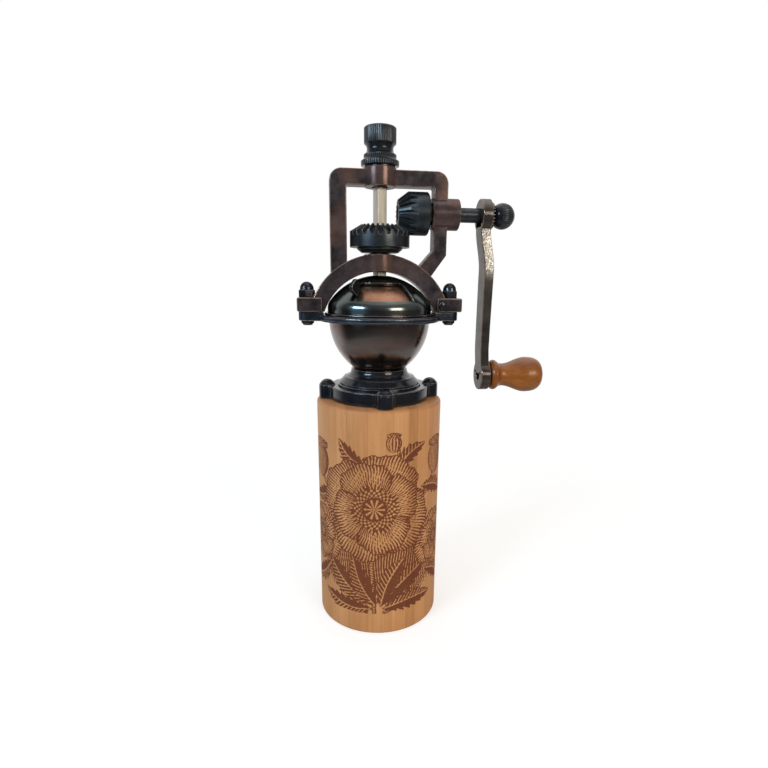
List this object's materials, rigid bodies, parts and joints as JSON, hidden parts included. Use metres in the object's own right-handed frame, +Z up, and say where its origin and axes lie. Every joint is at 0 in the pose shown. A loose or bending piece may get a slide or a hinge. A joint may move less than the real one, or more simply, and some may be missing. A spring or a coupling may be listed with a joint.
{
  "type": "poppy seed mill",
  "caption": "Hand-cranked seed mill: round wooden body, bowl under a domed hopper with a sliding door, iron bridge with bevel gears, crank arm with a turned grip and a burr set in the foot.",
  "frame": {"origin": "centre of the outlet mouth in the body's bottom face, where the mill stands", "axes": "+Z up along the spindle, +X along the crank shaft towards the crank arm, -Y is the side of the hopper door"},
  "size_m": [0.1228, 0.062, 0.2376],
  "materials": {
    "body_wood": "oiled hardwood, glued from staves, engraved front",
    "grip_wood": "orange-brown lacquer, glossy",
    "black_enamel": "gloss black enamel on a casting",
    "bridge_iron": "dark antique copper with worn edges",
    "blued_iron": "blue-black, satin, worn at the edges",
    "bowl_metal": "satin gunmetal",
    "dome_nickel": "black nickel, polished",
    "door_copper": "satin copper",
    "black_oxide": "black oxide with a blue sheen",
    "bright_steel": "bright drawn steel",
    "arm_steel": "dark pitted iron with copper showing at the edges",
    "screw_steel": "dark nickel-plated hardware",
    "burr_steel": "hardened steel, ground"
  },
  "bodies": {
    "mill": {"wood_body": "body_wood", "base_flange": "black_enamel", "flange_screws": "screw_steel", "bowl": "bowl_metal", "rim_ring": "blued_iron", "dome": "dome_nickel", "door_clip": "bright_steel", "bridge_frame": "bridge_iron", "clamp_bolts": "screw_steel", "cap_nuts": "bridge_iron", "foot_screw": "screw_steel", "thrust_washer": "bright_steel", "gear_washer": "bright_steel", "ring_burr": "burr_steel", "spindle_guide": "burr_steel", "burr_screws": "screw_steel", "burr_spring": "bright_steel"},
    "crank": {"crank_shaft": "black_oxide", "pinion": "black_oxide", "pinion_spacer": "bright_steel", "pinion_grub_screw": "black_oxide", "crank_arm": "arm_steel", "lock_washer": "bright_steel", "ball_nut": "arm_steel", "grip_washer": "bright_steel", "grip_axle": "screw_steel"},
    "grip": {"grip": "grip_wood"},
    "gear": {"crown_gear": "black_oxide"},
    "spindle": {"spindle": "bright_steel", "cone_burr": "burr_steel", "spindle_end_nut": "bright_steel"},
    "adjuster": {"adjusting_nut": "black_oxide"},
    "door": {"dome_door": "door_copper", "door_tab": "door_copper"}
  },
  "joints": [
    {"name": "crank_turn", "type": "hinge", "parent": "mill", "child": "crank", "pos_m": [0, 0, 0.2017], "axis": [1, 0, 0], "continuous": true},
    {"name": "grip_spin", "type": "hinge", "parent": "crank", "child": "grip", "pos_m": [0.0575, 0, 0.125], "axis": [1, 0, 0], "continuous": true},
    {"name": "gear_turn", "type": "hinge", "parent": "mill", "child": "gear", "pos_m": [0, 0, 0.1839], "axis": [0, 0, 1], "continuous": true},
    {"name": "spindle_slide", "type": "slide", "parent": "gear", "child": "spindle", "axis": [0, 0, 1], "range_m": [-0.0008, 0.0008], "deforming": ["burr_spring"]},
    {"name": "adjuster_turn", "type": "hinge", "parent": "gear", "child": "adjuster", "pos_m": [0, 0, 0.2215], "axis": [0, 0, 1], "range_deg": [-360, 360]},
    {"name": "door_slide_round", "type": "hinge", "parent": "mill", "child": "door", "pos_m": [0, 0, 0.17], "axis": [0, 0, 1], "range_deg": [0, 68]}
  ],
  "couplings": [
    {"joint": "gear_turn", "follows": "crank_turn", "ratio": 0.66667},
    {"joint": "spindle_slide", "follows": "adjuster_turn", "m_per_rad": -0.00012732}
  ]
}
